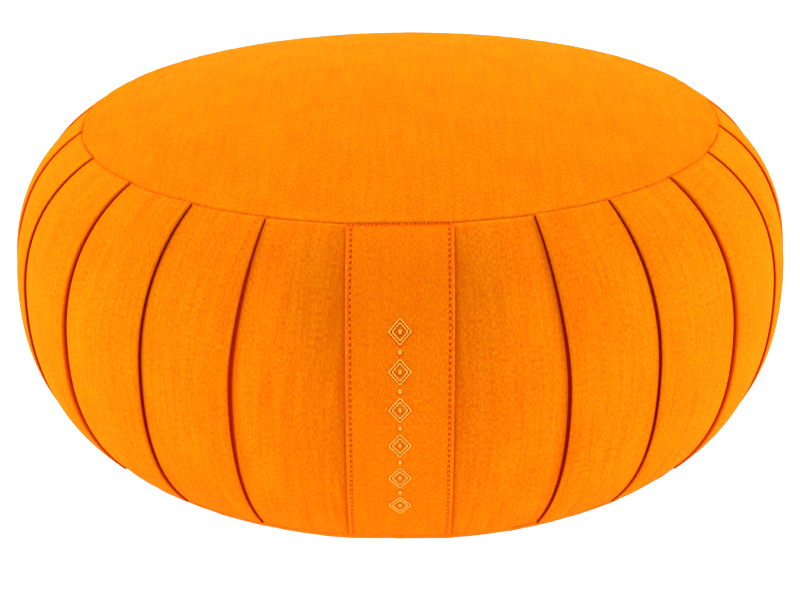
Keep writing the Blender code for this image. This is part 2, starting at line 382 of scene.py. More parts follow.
def middle_column(panel):
    """The column nearest the middle of a panel, from which its cloth is measured."""
    members = np.flatnonzero(panel_names == panel)
    return members[np.argmin(np.abs(section_of[members, ACROSS] - PANEL_MIDDLE))]


middle_of = {panel: middle_column(panel) for panel in set(panel_names)}
cloth_uv = bm.loops.layers.uv["cloth"]
for face in bm.faces:
    panel = panel_names[min(places[vert][1] for vert in face.verts)]
    for loop in face.loops:
        row, column = places[loop.vert]
        across = walked[row, column] - walked[row, middle_of[panel]] + panel * CUT_PLEAT
        loop[cloth_uv].uv = (across, band_shares[row] * band_length)
print("panels of cloth between folds:", len(middle_of))

# %% [markdown]
# ## Closing the bag
#
# The band alone is a ring. Its two ends meet at the middle of the back, where the doubles are merged.
# Then its top and bottom edges are extruded ring by ring, first down into the seam and then along
# under the round panels to the axis. The result is one closed, filled body, which is what the
# measured solid is. On its way in the cloth's zigzag has to open out, or the rings would lie over
# themselves, so each column of points has a place of its own on the rings.

# %% Where each column lies once the pleats have opened out
PANEL_THICKNESS = 1.1 * MM
UNDER_PANEL = 0.3 * MM
EVEN_SHARE = 0.5

half_count = len(half)
opening = np.maximum.accumulate(np.abs(np.arctan2(band_points[-1, :, 0], -band_points[-1, :, 1]))[half_count - 1 :])
even = np.linspace(0, math.pi, half_count)
opening = (1 - EVEN_SHARE) * opening * math.pi / opening[-1] + EVEN_SHARE * even
ring_angles = np.concatenate([-opening[:0:-1], opening])
print("smallest step between columns in degrees:", round(float(np.degrees(np.diff(ring_angles)).min()), 3))


# %% Extrude the edges to rings
# Painted shade in the seam's crease: how dark it is, and how it fades towards the sides.
SEAM_CREASE_SHADE = 0.9
SIDE_SHADE_FADE = 1.0
TIGHT_FROM = math.radians(66)


def seam_crease_shade(angle):
    """How dark the painted shade in the seam's crease is. It fades at the sides, where the round is drawn tight."""
    return SEAM_CREASE_SHADE * (1 - SIDE_SHADE_FADE * min(1, abs(angle) / TIGHT_FROM) ** 2)


def open_edges(bm, low):
    """The open edges at the band's lower or upper end."""
    middle = (BOTTOM_SEAM_HEIGHT + TOP_SEAM_HEIGHT) / 2
    found = [edge for edge in bm.edges if edge.is_boundary]
    return [edge for edge in found if (edge.verts[0].co.z < middle) == low]


def ring(bm, edges, columns, placed):
    """One more ring of faces from open edges. placed gives a point's new place from its column."""
    made = bmesh.ops.extrude_edge_only(bm, edges=edges)["geom"]
    fresh = {item for item in made if isinstance(item, bmesh.types.BMVert)}
    for vert in fresh:
        source = next(edge.other_vert(vert) for edge in vert.link_edges if edge.other_vert(vert) not in fresh)
        columns[vert] = columns[source]
        # The band's rings into the seam get the seam's painted shade.
        vert[bm.verts.layers.float["fold"]] = seam_crease_shade(ring_angles[columns[vert]])
    for vert in fresh:
        vert.co = placed(vert, columns[vert])
    return [edge for vert in fresh for edge in vert.link_edges if edge.is_boundary]


def nearer(inward, lift):
    """A short step from where the point is, towards the axis and up."""
    def placed(vert, column):
        share = 1 - inward / math.hypot(vert.co.x, vert.co.y)
        return (vert.co.x * share, vert.co.y * share, vert.co.z + lift)
    return placed


def on_ring(radius, height):
    def placed(vert, column):
        angle = ring_angles[column]
        return around(angle, float(flattened(angle, radius)), height)
    return placed


ends = [vert for vert, place in places.items() if place[1] in (0, len(band_columns) - 1)]
bmesh.ops.remove_doubles(bm, verts=ends, dist=0.01 * MM)
columns = {vert: place[1] for vert, place in places.items() if vert.is_valid}
edges = list(set(open_edges(bm, low=False)))
edges = list(set(ring(bm, edges, columns, nearer(0.3 * MM, -0.8 * MM))))
edges = list(set(ring(bm, edges, columns, nearer(1.5 * MM, -1.6 * MM))))
for share in (0.96, 0.88, 0.70, 0.45, 0.2, 0.03):
    height = float(crown_height(share)) - PANEL_THICKNESS - UNDER_PANEL - 1.0 * MM * share**20
    edges = list(set(ring(bm, edges, columns, on_ring(share * TOP_SEAM_RADIUS, height))))
bmesh.ops.edgeloop_fill(bm, edges=edges)
edges = list(set(open_edges(bm, low=True)))
edges = list(set(ring(bm, edges, columns, nearer(0.3 * MM, 0.8 * MM))))
edges = list(set(ring(bm, edges, columns, nearer(1.5 * MM, 1.6 * MM))))
for radius in (136 * MM, 126 * MM, 60 * MM):
    height = float(base_height(radius)) + PANEL_THICKNESS + UNDER_PANEL
    edges = list(set(ring(bm, edges, columns, on_ring(radius, height))))
bmesh.ops.edgeloop_fill(bm, edges=edges)
bmesh.ops.recalc_face_normals(bm, faces=bm.faces)
print("open edges left:", sum(edge.is_boundary for edge in bm.edges))


# %% Make it an object
def finished(name, bm, replaced):
    """An object of a bmesh, smooth, riding on the cushion in the place of a measured solid."""
    mesh = bpy.data.meshes.new(name)
    bm.to_mesh(mesh)
    bm.free()
    mesh.shade_smooth()
    piece = bpy.data.objects.new(name, mesh)
    bpy.context.scene.collection.objects.link(piece)
    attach(piece, "root")
    if replaced:
        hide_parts(replaced)
    print(name, "has", len(mesh.polygons), "faces")
    return piece


pleated_body = finished("pleated_body", bm, "pleated_side")

# %% [markdown]
# ## The round panels
#
# Each round is a disc of canvas, so its section is spun about the axis. Near the seam the cloth
# rolls over the stitching and down into it, which gives the fine crease that runs round the top.
# The section goes out along the upper face and back along the lower one. That closes the sheet at
# the rim and at both poles, with no need for a thickness afterwards.

# %% Sections of the two rounds
ROLL = 1.8 * MM
ROLL_DEPTH = 2.0 * MM
ROUND_STEPS = 300
SEAM_GAP = 0.72 * MM
SEAM_WANDER = 0.22 * MM


WELT = 0.40 * MM
WELT_WIDTH = 2.4 * MM


def welt(share):
    """The seam's folded edges lie under the cloth and lift it a little."""
    return WELT * math.exp(-(((1 - share) * TOP_SEAM_RADIUS - ROLL) / WELT_WIDTH) ** 2)


def top_section():
    """(radius, height) of the upper face, from the middle out to the seam and down into it."""
    shares = np.concatenate([np.linspace(0, 0.93, 24), np.linspace(0.94, 1 - ROLL / TOP_SEAM_RADIUS, 9)])
    points = [(share * TOP_SEAM_RADIUS, float(crown_height(share)) + welt(share)) for share in shares]
    edge_radius, edge_height = points[-1]
    for turn in (0.25, 0.5, 0.75, 1.0):
        drop = ROLL_DEPTH * (1 - math.cos(turn * math.pi / 2))
        reach = (TOP_SEAM_RADIUS - SEAM_GAP - edge_radius) * math.sin(turn * math.pi / 2)
        points.append((edge_radius + reach, edge_height - drop))
    return points


def base_section():
    """(radius, height) of the face on the floor, from the middle out to the seam."""
    curve = np.linspace(FLAT_BASE_RADIUS, BOTTOM_SEAM_RADIUS - SEAM_GAP, 14)
    return [(float(radius), float(base_height(radius))) for radius in (0, 60 * MM, 110 * MM, *curve)]


# %% Spin them and fit them to the bag
def spun(section, thickness):
    """A round sheet: its section goes out on one face and back on the other, and makes a full turn."""
    back = [(radius, height + thickness) for radius, height in reversed(section[:-1])]
    rim = (section[-1][0] - abs(thickness) / 2, section[-1][1] + thickness / 2)
    bm = bmesh.new()
    verts = [bm.verts.new((0, -radius, height)) for radius, height in [*section, rim, *back]]
    chain = [bm.edges.new(pair) for pair in zip(verts, verts[1:])]
    turn = {"cent": (0, 0, 0), "axis": (0, 0, 1), "angle": 2 * math.pi, "steps": ROUND_STEPS, "use_merge": True}
    bmesh.ops.spin(bm, geom=verts + chain, **turn)
    bmesh.ops.remove_doubles(bm, verts=bm.verts, dist=0.01 * MM)
    bmesh.ops.dissolve_degenerate(bm, edges=bm.edges, dist=0.001 * MM)
    bmesh.ops.recalc_face_normals(bm, faces=bm.faces)
    return bm


FLAT_FROM = 0.7
# How far in from the rim the roll is painted with shade.
ROLL_SHADE_WIDTH = 0.55 * MM
TIGHTER = 1.05 * MM


def fitted(bm):
    """Keeps the cloth's flat coordinates, paints shade into the roll at the rim, then cuts it straight behind the
    strip and leans it.
    """
    layer = bm.loops.layers.uv.new("cloth")
    painted_shade_layer = bm.verts.layers.float.new("fold")
    for face in bm.faces:
        for loop in face.loops:
            loop[layer].uv = loop.vert.co.xy
    edge = max(vert.co.x for vert in bm.verts)
    for vert in bm.verts:
        inside = (math.hypot(vert.co.x, vert.co.y) - edge + ROLL_SHADE_WIDTH) / ROLL_SHADE_WIDTH
        angle = math.atan2(vert.co.x, -vert.co.y)
        vert[painted_shade_layer] = seam_crease_shade(angle) * min(1, max(0, inside))
    for vert in bm.verts:
        share = max(0, math.hypot(vert.co.x, vert.co.y) / edge - FLAT_FROM) / (1 - FLAT_FROM)
        angle = math.atan2(vert.co.x, -vert.co.y)
        wander = SEAM_WANDER * (math.sin(23 * angle) + math.sin(61 * angle + 1.0) + math.sin(97 * angle + 2.0))
        tighter = TIGHTER * min(1, abs(angle) / TIGHT_FROM) ** 2
        reach = float(flattened(angle, edge)) + wander / 2 + tighter
        vert.co.xy *= 1 - share**2 * (1 - reach / edge)
        vert.co = leaned(np.array(vert.co))
    return bm


top_round = finished("top_round", fitted(spun(top_section(), -PANEL_THICKNESS)), "top_panel")
base_round = finished("base_round", fitted(spun(base_section(), PANEL_THICKNESS)), "bottom_panel")

# %% [markdown]
# ## The front strip
#
# The strip is twill, folded under along both long edges and stitched down close to them. It is cut
# flat like the band. Its section has the soft roll of each folded edge, and a shallow groove where
# the thread pulls it down.

# %% Section and place of the strip
STRIP_RISE = 1.6 * MM
STRIP_END_RISE = 0.9 * MM
STRIP_END_SHARE = 0.16
STRIP_CLOTH = 0.5 * MM
STITCH_LINE = 17.4 * MM
STITCH_PITCH = 2.2 * MM
HOLE_DEPTH = 0.62
ROWS_A_STITCH = 4
# Half of the section: mm from the strip's middle, the share of its rise, and how far a stitch hole
# pulls that point in. The last rows are the hem, turned under the edge.
STRIP_SECTION = (
    (0.0, 1.00, 0.0),
    (5.0, 1.00, 0.0),
    (10.0, 1.00, 0.0),
    (14.0, 0.99, 0.0),
    (16.2, 0.98, 0.0),
    (16.85, 0.94, 0.1),
    (17.1, 0.88, 0.8),
    (17.4, 0.82, 1.0),
    (17.7, 0.88, 0.8),
    (17.95, 0.95, 0.1),
    (18.7, 0.93, 0.0),
    (18.95, 0.82, 0.0),
    (19.05, 0.66, 0.0),
    (18.95, 0.50, 0.0),
    (18.6, 0.38, 0.0),
    (16.0, 0.34, 0.0),
    (12.5, 0.34, 0.0),
)
stitch_count = round(band_length / STITCH_PITCH)
STRIP_ROWS = stitch_count * ROWS_A_STITCH + 1
strip_columns = [(-x, share, pull) for x, share, pull in STRIP_SECTION[:0:-1]] + list(STRIP_SECTION)
print("stitches down each side of the strip:", stitch_count)


def strip_point(x, rise_share, share, height):
    """A point on the strip: x in metres from its middle, and its share of the rise."""
    radius = float(side_radius(height))
    out, up = outward(height)
    settled = min(1, min(share, 1 - share) / STRIP_END_SHARE)
    rise = STRIP_END_RISE + (STRIP_RISE - STRIP_END_RISE) * settled * (2 - settled)
    lifted = rise * rise_share + 0.12 * MM * math.sin(23 * share + 40 * x) * (abs(x) > STITCH_LINE)
    depth = math.sqrt(radius**2 - STRIP_SEAT**2) + out * lifted
    return leaned(np.array([x, -depth, height + up * lifted]))


# %% Cut and fold the strip
# Painted shade under the hem's fold and on the strip's last rows at each end.
HEM_SHADE_BELOW = 0.56
END_SHADE_ROWS = 1.5
SEAM_MARGIN = 0.004
strip_shares, strip_heights, _ = side_rows(STRIP_ROWS)
strip_bm, places = flat_cut(len(strip_columns), STRIP_ROWS)
cloth_uv = strip_bm.loops.layers.uv["cloth"]
painted_shade_layer = strip_bm.verts.layers.float["fold"]
section_runs = np.cumsum([0] + [abs(b[0] - a[0]) for a, b in zip(strip_columns, strip_columns[1:])]) * MM
for face in strip_bm.faces:
    for loop in face.loops:
        row, column = places[loop.vert]
        loop[cloth_uv].uv = (section_runs[column], strip_shares[row] * band_length)
for vert, (row, column) in places.items():
    x, rise_share, pull = strip_columns[column]
    from_end = min(row, STRIP_ROWS - 1 - row)
    # Painted shade under the hem and at both ends of the strip.
    vert[painted_shade_layer] = min(1, max(0, (HEM_SHADE_BELOW - rise_share) / 0.20, 1 - from_end / END_SHADE_ROWS))
    hole = (0.5 + 0.5 * math.cos(2 * math.pi * row / ROWS_A_STITCH)) ** 2
    share = SEAM_MARGIN + (1 - 2 * SEAM_MARGIN) * strip_shares[row]
    height = float(np.interp(share, strip_shares, strip_heights))
    vert.co = strip_point(x * MM, rise_share - HOLE_DEPTH * pull * hole, share, height)
bmesh.ops.recalc_face_normals(strip_bm, faces=strip_bm.faces)
middle_face = min(strip_bm.faces, key=lambda face: face.calc_center_median().length_squared + abs(face.calc_center_median().x))
if middle_face.normal.y > 0:
    bmesh.ops.reverse_faces(strip_bm, faces=strip_bm.faces)
bmesh.ops.solidify(strip_bm, geom=strip_bm.faces, thickness=STRIP_CLOTH)
closing_strip = finished("closing_strip", strip_bm, "front_strip")

# %% [markdown]
# ## Stitches
#
# A stitch is a short length of thread that dips into the cloth at both ends. From a step away it is
# a small bead with pointed ends. One low sphere is made once, and a stretched and turned copy of it
# is added for each stitch, so a row of sewing is a single light mesh.

# %% One stitch
THREAD = 0.36 * MM

bead_bm = bmesh.new()
bmesh.ops.create_uvsphere(bead_bm, u_segments=6, v_segments=5, radius=0.5)
bead = bpy.data.meshes.new("bead")
bead_bm.to_mesh(bead)
bead_bm.free()
print("faces in a stitch:", len(bead.polygons))


def add_stitch(bm, middle, along, out, length, thickness=THREAD):
    """A thread bead at a point, lying along one direction and standing out along another."""
    along = Vector(along).normalized()
    out = (Vector(out) - along * Vector(out).dot(along)).normalized()
    turn = Matrix((out.cross(along), out, along)).transposed().to_4x4()
    stitch = bead.copy()
    stitch.transform(Matrix.Translation(middle) @ turn @ Matrix.Diagonal((thickness, thickness, length, 1)))
    bm.from_mesh(stitch)
    bpy.data.meshes.remove(stitch)


# %% Rows down the strip
strip_sewing = bmesh.new()
THREAD_SHARE = 0.90
for side in (-1, 1):
    for number in range(stitch_count):
        ends = []
        for place in (number + 0.45, number + 0.55):
            share = SEAM_MARGIN + (1 - 2 * SEAM_MARGIN) * place / stitch_count
            height = float(np.interp(share, strip_shares, strip_heights))
            ends.append(Vector(strip_point(side * STITCH_LINE, THREAD_SHARE, share, height)))
        slant = Vector((side * 0.05, 0, 0))
        along = (ends[1] - ends[0]).normalized() + slant
        add_stitch(strip_sewing, (ends[0] + ends[1]) / 2, along, (0, -1, 0), 0.52 * STITCH_PITCH)
strip_stitches = finished("strip_stitches", strip_sewing, None)

# %% [markdown]
# ## The embroidered motif
#
# A column of plain lozenges and dots runs down the middle of the strip, in a lighter thread. The
# lozenges are outlined twice in backstitch, which is one thread after another along the line. The
# dots are satin stitch, which is short threads laid side by side. Each thread is one bead, so the
# light catches it as it does on the real stitches.

# %% Sizes of the motif
MOTIF_TOP = 0.745
MOTIF_BOTTOM = 0.165
LOZENGES = 6
LOZENGE_SHARE = 0.74
LOZENGE_HALF_WIDTH = 3.9 * MM
OUTLINES = ((0.0, 6), (0.30, 4))
OUTLINE_THREAD = 0.62 * MM
THREADS_A_DOT = 5
DOT_HALF_WIDTH = 0.9 * MM
SATIN_THREAD = 0.40 * MM
THREAD_RAISE = 0.16 * MM

lozenge_step = (MOTIF_TOP - MOTIF_BOTTOM) / (LOZENGES - 1 + LOZENGE_SHARE) * band_length
lozenge_half_height = lozenge_step * LOZENGE_SHARE / 2 - OUTLINE_THREAD
first_lozenge = MOTIF_BOTTOM * band_length + lozenge_step * LOZENGE_SHARE / 2
print("lozenges in mm:", round(2 * LOZENGE_HALF_WIDTH / MM, 1), "by", round(2 * lozenge_half_height / MM, 1))


# %% Threads on the strip
def on_strip(x, up_strip):
    """A point on the strip's face and the direction that it faces, from metres across and up the strip."""
    share = up_strip / band_length
    height = float(np.interp(share, strip_shares, strip_heights))
    out, up = outward(height)
    return Vector(strip_point(x, 1.0, share, height)), Vector((0, -float(out), float(up)))


def thread_between(bm, start, end, thickness):
    first, facing = on_strip(*start)
    last, _ = on_strip(*end)
    add_stitch(bm, (first + last) / 2 + facing * THREAD_RAISE, last - first, facing, (last - first).length, thickness)


def backstitch(bm, start, end, count):
    """Threads one after the other along a line, each a little over the next one's end."""
    way = (end[0] - start[0], end[1] - start[1])
    for number in range(count):
        a, b = (number - 0.08) / count, (number + 1.08) / count
        places = [(start[0] + way[0] * part, start[1] + way[1] * part) for part in (a, b)]
        thread_between(bm, *places, OUTLINE_THREAD)


def satin_dot(bm, middle):
    """Threads side by side across a round dot."""
    for number in range(THREADS_A_DOT):
        part = 2 * (number + 0.5) / THREADS_A_DOT - 1
        reach = DOT_HALF_WIDTH * math.sqrt(1 - part**2)
        up_strip = middle + part * DOT_HALF_WIDTH
        thread_between(bm, (-reach, up_strip), (reach, up_strip), SATIN_THREAD)


# %% Lay the threads of the motif
motif = bmesh.new()
for number in range(LOZENGES):
    middle = first_lozenge + lozenge_step * number
    for inset, stitches in OUTLINES:
        reach, rise = LOZENGE_HALF_WIDTH * (1 - inset), lozenge_half_height * (1 - inset)
        corners = ((0, middle + rise), (reach, middle), (0, middle - rise), (-reach, middle))
        for a, b in zip(corners, corners[1:] + corners[:1]):
            backstitch(motif, a, b, stitches)
    satin_dot(motif, middle)
    if number < LOZENGES - 1:
        satin_dot(motif, middle + lozenge_step / 2)
satin_motif = finished("satin_motif", motif, None)


# %% [markdown]
# The two round seams are sewn from inside, so their thread only shows where the filling pulls the
# seam open: short bars of thread across the crease, not all the same distance apart.

# %% Rows round the seams
SEAM_PITCH = 1.5 * MM
SEAM_THREAD = 0.32 * MM


def seam_row(radius, height, up):
    """Bars of thread across a seam, from the band to the round. up is 1 on top and -1 below."""
    bm = bmesh.new()
    count = round(2 * math.pi * radius / SEAM_PITCH)
    for number in range(count):
        angle = 2 * math.pi * (number + rng.uniform(-0.3, 0.3)) / count - math.pi
        reach = float(flattened(angle, radius))
        outer = Vector(around(angle, reach + 0.1 * MM, height + up * 0.05 * MM))
        inner = Vector(around(angle + rng.uniform(0.001, 0.003), reach - SEAM_GAP - 0.2 * MM, height + up * 0.20 * MM))
        facing = Vector((math.sin(angle), -math.cos(angle), up * 1.2))
        add_stitch(bm, (outer + inner) / 2, inner - outer, facing, 1.15 * (inner - outer).length, SEAM_THREAD)
    return bm


top_stitches = finished("top_seam_stitches", seam_row(TOP_SEAM_RADIUS, TOP_SEAM_HEIGHT, 1), None)
base_row = seam_row(BOTTOM_SEAM_RADIUS, BOTTOM_SEAM_HEIGHT, -1)
base_stitches = finished("base_seam_stitches", base_row, None)

# %% [markdown]
# ## Cloth as a material
#
# Canvas has three scales. Threads cross every half millimetre. Some threads are thicker than others
# for a hand's width, which gives faint streaks along the cloth. And the dye takes a little unevenly.
# Every orange cloth here has all three, so each is an output of one shader node group, which reads
# the UV map in millimetres and is placed in each material with its own values.


# %% Small helpers for node groups
def new_group(name, inputs, outputs):
    group = bpy.data.node_groups.new(name, "ShaderNodeTree")
    for label, kind, value in inputs:
        socket = group.interface.new_socket(label, in_out="INPUT", socket_type=kind)
        if value is not None:
            socket.default_value = value
    for label, kind in outputs:
        group.interface.new_socket(label, in_out="OUTPUT", socket_type=kind)
    return group, group.nodes.new("NodeGroupInput"), group.nodes.new("NodeGroupOutput")


def put(socket, value):
    """Links a socket to a value's output, or sets it."""
    if isinstance(value, bpy.types.NodeSocket):
        socket.id_data.links.new(value, socket)
    else:
        socket.default_value = value


def maths(tree, operation, *values):
    node = tree.nodes.new("ShaderNodeMath")
    node.operation = operation
    for socket, value in zip(node.inputs, values):
        put(socket, value)
    return node.outputs[0]


def noise(tree, vector, scale, detail=2.0, roughness=0.5):
    node = tree.nodes.new("ShaderNodeTexNoise")
    put(node.inputs["Vector"], vector)
    put(node.inputs["Scale"], scale)
    put(node.inputs["Detail"], detail)
    put(node.inputs["Roughness"], roughness)
    return node.outputs["Fac"]


def limited(tree, value):
    """The value, held between 0 and 1."""
    return maths(tree, "MINIMUM", maths(tree, "MAXIMUM", value, 0.0), 1.0)


def scaled(tree, vector, scale):
    node = tree.nodes.new("ShaderNodeMapping")
    put(node.inputs["Vector"], vector)
    put(node.inputs["Scale"], scale)
    return node.outputs["Vector"]


# %% The weave
def weave_group():
    """Twill ribs, short slubs in the yarn, long streaks and uneven dye, all from the cloth's place."""
    group, given, out = new_group(
        "woven cloth",
        [
            ("Millimetres", "NodeSocketVector", None),
            ("Rib pitch", "NodeSocketFloat", 0.7),
            ("Rib share", "NodeSocketFloat", 0.2),
            ("Slub share", "NodeSocketFloat", 1.5),
            ("Streak share", "NodeSocketFloat", 0.8),
            ("Dye share", "NodeSocketFloat", 0.5),
        ],
        [("Height", "NodeSocketFloat"), ("Tone", "NodeSocketFloat")],
    )
    place = given.outputs["Millimetres"]
    wander = group.nodes.new("ShaderNodeTexNoise")
    put(wander.inputs["Vector"], place)
    put(wander.inputs["Scale"], 0.35)
    drift = group.nodes.new("ShaderNodeVectorMath")
    drift.operation = "MULTIPLY_ADD"
    put(drift.inputs[0], wander.outputs["Color"])
    put(drift.inputs[1], (0.7, 0.7, 0.7))
    put(drift.inputs[2], place)
    parts = group.nodes.new("ShaderNodeSeparateXYZ")
    put(parts.inputs[0], drift.outputs[0])
    u = maths(group, "DIVIDE", parts.outputs["X"], given.outputs["Rib pitch"])
    v = maths(group, "DIVIDE", parts.outputs["Y"], given.outputs["Rib pitch"])
    slant = maths(group, "MULTIPLY_ADD", v, 0.75, u)
    rib = maths(group, "ABSOLUTE", maths(group, "SINE", maths(group, "MULTIPLY", slant, math.pi)))
    pick = maths(group, "ABSOLUTE", maths(group, "SINE", maths(group, "MULTIPLY", v, 2 * math.pi)))
    height = maths(group, "MULTIPLY_ADD", pick, 0.3, rib)
    put(out.inputs["Height"], height)
    slubs = noise(group, scaled(group, place, (1.9, 0.7, 1.0)), 1.0, 3.0, 0.6)
    streaks = noise(group, scaled(group, place, (0.55, 0.035, 1.0)), 1.0, 3.0, 0.6)
    dye = noise(group, place, 0.05, 3.0)
    tone = 0.5
    layers = ((rib, 0.64, "Rib share"), (slubs, 0.5, "Slub share"), (streaks, 0.5, "Streak share"), (dye, 0.5, "Dye share"))
    for layer, middle, share in layers:
        centred = maths(group, "SUBTRACT", layer, middle)
        tone = maths(group, "MULTIPLY_ADD", centred, given.outputs[share], tone)
    put(out.inputs["Tone"], tone)
    return group


weave = weave_group()
print("sockets of the weave:", [item.name for item in weave.interface.items_tree])


# %% Painted shade in the needle's holes
def hole_shade_group():
    """Painted shade: dark spots where the needle went through, along two lines up the cloth."""
    group, given, out = new_group(
        "painted shade in needle holes",
        [
            ("Millimetres", "NodeSocketVector", None),
            ("Middle", "NodeSocketFloat", 0.0),
            ("Off middle", "NodeSocketFloat", 1.0),
            ("Pitch", "NodeSocketFloat", 2.0),
        ],
        [("Hole shade", "NodeSocketFloat")],
    )
    parts = group.nodes.new("ShaderNodeSeparateXYZ")
    put(parts.inputs[0], given.outputs["Millimetres"])
    across = maths(group, "SUBTRACT", parts.outputs["X"], given.outputs["Middle"])
    right = maths(group, "GREATER_THAN", across, 0.0)
    across = maths(group, "SUBTRACT", maths(group, "ABSOLUTE", across), given.outputs["Off middle"])
    along = maths(group, "PINGPONG", parts.outputs["Y"], maths(group, "MULTIPLY", given.outputs["Pitch"], 0.5))
    far = maths(group, "ADD", maths(group, "POWER", maths(group, "DIVIDE", across, 0.26), 2.0),
                maths(group, "POWER", maths(group, "DIVIDE", along, 0.40), 2.0))
    inside = limited(group, maths(group, "SUBTRACT", 1.25, far))
    # The painted shade varies at random from hole to hole, and is 0.45 fainter on the row right of the middle.
    shade_amount = noise(group, given.outputs["Millimetres"], 0.45, 1.0)
    shade_amount = limited(group, maths(group, "MULTIPLY_ADD", shade_amount, 3.6, -1.35))
    shade_amount = maths(group, "MULTIPLY", shade_amount, maths(group, "MULTIPLY_ADD", right, -0.45, 1.0))
    put(out.inputs["Hole shade"], maths(group, "MULTIPLY", inside, shade_amount))
    return group


# %% Painted shade beside the embroidery
def embroidery_shade_group():
    """Painted shade close beside the lozenges' outlines and round their dots."""
    group, given, out = new_group(
        "painted shade beside the embroidery",
        [
            ("Millimetres", "NodeSocketVector", None),
            ("Middle", "NodeSocketFloat", 0.0),
            ("First", "NodeSocketFloat", 0.0),
            ("Last", "NodeSocketFloat", 0.0),
            ("Step", "NodeSocketFloat", 10.0),
            ("Half width", "NodeSocketFloat", 4.0),
            ("Half height", "NodeSocketFloat", 4.0),
        ],
        [("Embroidery shade", "NodeSocketFloat")],
    )
    parts = group.nodes.new("ShaderNodeSeparateXYZ")
    put(parts.inputs[0], given.outputs["Millimetres"])
    across = maths(group, "ABSOLUTE", maths(group, "SUBTRACT", parts.outputs["X"], given.outputs["Middle"]))
    up_strip = maths(group, "SUBTRACT", parts.outputs["Y"], given.outputs["First"])
    half_step = maths(group, "MULTIPLY", given.outputs["Step"], 0.5)
    along = maths(group, "PINGPONG", up_strip, half_step)
    share = maths(group, "ADD", maths(group, "DIVIDE", across, given.outputs["Half width"]),
                  maths(group, "DIVIDE", along, given.outputs["Half height"]))
    from_outline = maths(group, "ABSOLUTE", maths(group, "SUBTRACT", share, 1 - OUTLINES[1][0] / 2))
    outline = limited(group, maths(group, "MULTIPLY", maths(group, "SUBTRACT", 0.33, from_outline), 9.0))
    near_dot = maths(group, "PINGPONG", up_strip, maths(group, "MULTIPLY", given.outputs["Step"], 0.25))
    from_dot = maths(group, "SQRT", maths(group, "ADD", maths(group, "POWER", across, 2.0),
                                          maths(group, "POWER", near_dot, 2.0)))
    dot = limited(group, maths(group, "MULTIPLY", maths(group, "SUBTRACT", 1.35, from_dot), 3.0))
    shade_amount = maths(group, "MAXIMUM", outline, dot)
    past_first = maths(group, "GREATER_THAN", up_strip, maths(group, "SUBTRACT", -0.8, given.outputs["Half height"]))
    before_last = maths(group, "LESS_THAN", parts.outputs["Y"], given.outputs["Last"])
    put(out.inputs["Embroidery shade"], maths(group, "MULTIPLY", shade_amount, maths(group, "MULTIPLY", past_first, before_last)))
    return group


def cloth_height(up_strip):
    """Millimetres up the strip's own cloth, from metres up the finished strip."""
    return (up_strip / band_length - SEAM_MARGIN) / (1 - 2 * SEAM_MARGIN) * band_length / MM


needle_hole_shade = hole_shade_group()
embroidery_shade = embroidery_shade_group()
strip_middle = section_runs[len(strip_columns) // 2] / MM
print("middle of the strip's cloth in mm:", round(float(strip_middle), 2))


# %% A woven material
def darkened(tree, colour, group, values, millimetres, shade):
    """The colour, turned to a painted shade where a group of the strip says so."""
    mask = tree.nodes.new("ShaderNodeGroup")
    mask.node_tree = group
    put(mask.inputs["Millimetres"], millimetres)
    for label, value in values.items():
        put(mask.inputs[label], value)
    mix = tree.nodes.new("ShaderNodeMix")
    mix.data_type = "RGBA"
    put(mix.inputs["Factor"], mask.outputs[0])
    put(mix.inputs["A"], colour)
    put(mix.inputs["B"], shade)
    return mix.outputs["Result"]


def woven(name, light, deep, shares, bump, shade_marks=()):
    """Dyed cloth. light and deep are the two ends of its colour, and shares go to the weave group. Painted shade goes
    over it: a deep red where the attribute fold says so, and the shade marks.
    """
    material = bpy.data.materials.new(name)
    material.use_nodes = True
    tree = material.node_tree
    shader = tree.nodes["Principled BSDF"]
    coordinates = tree.nodes.new("ShaderNodeUVMap")
    coordinates.uv_map = "cloth"
    cloth = tree.nodes.new("ShaderNodeGroup")
    cloth.node_tree = weave
    put(cloth.inputs["Millimetres"], scaled(tree, coordinates.outputs["UV"], (1000, 1000, 1000)))
    for label, value in shares.items():
        put(cloth.inputs[label], value)
    mix = tree.nodes.new("ShaderNodeMix")
    mix.data_type = "RGBA"
    mix.clamp_factor = True
    put(mix.inputs["Factor"], cloth.outputs["Tone"])
    put(mix.inputs["A"], deep)
    put(mix.inputs["B"], light)
    # Painted shade: a deep red in the creases, along the folds' noses, in the seams, beside the strip and under its
    # hem, where the attribute fold says so.
    inside = tree.nodes.new("ShaderNodeAttribute")
    inside.attribute_name = "fold"
    shaded = tree.nodes.new("ShaderNodeMix")
    shaded.data_type = "RGBA"
    put(shaded.inputs["Factor"], inside.outputs["Fac"])
    put(shaded.inputs["A"], mix.outputs["Result"])
    put(shaded.inputs["B"], CREASE_SHADE_COLOUR)
    colour = shaded.outputs["Result"]
    # Painted shade in the needle holes and beside the embroidery.
    for group, values, shade in shade_marks:
        colour = darkened(tree, colour, group, values, cloth.inputs["Millimetres"].links[0].from_socket, shade)
    put(shader.inputs["Base Color"], colour)
    relief = tree.nodes.new("ShaderNodeBump")
    put(relief.inputs["Strength"], 1.0)
    put(relief.inputs["Distance"], bump * MM)
    put(relief.inputs["Height"], cloth.outputs["Height"])
    put(shader.inputs["Normal"], relief.outputs["Normal"])
    put(shader.inputs["Roughness"], 0.95)
    put(shader.inputs["Specular IOR Level"], 0.004)
    put(shader.inputs["Specular Tint"], (1.0, 0.35, 0.03, 1.0))
    return material


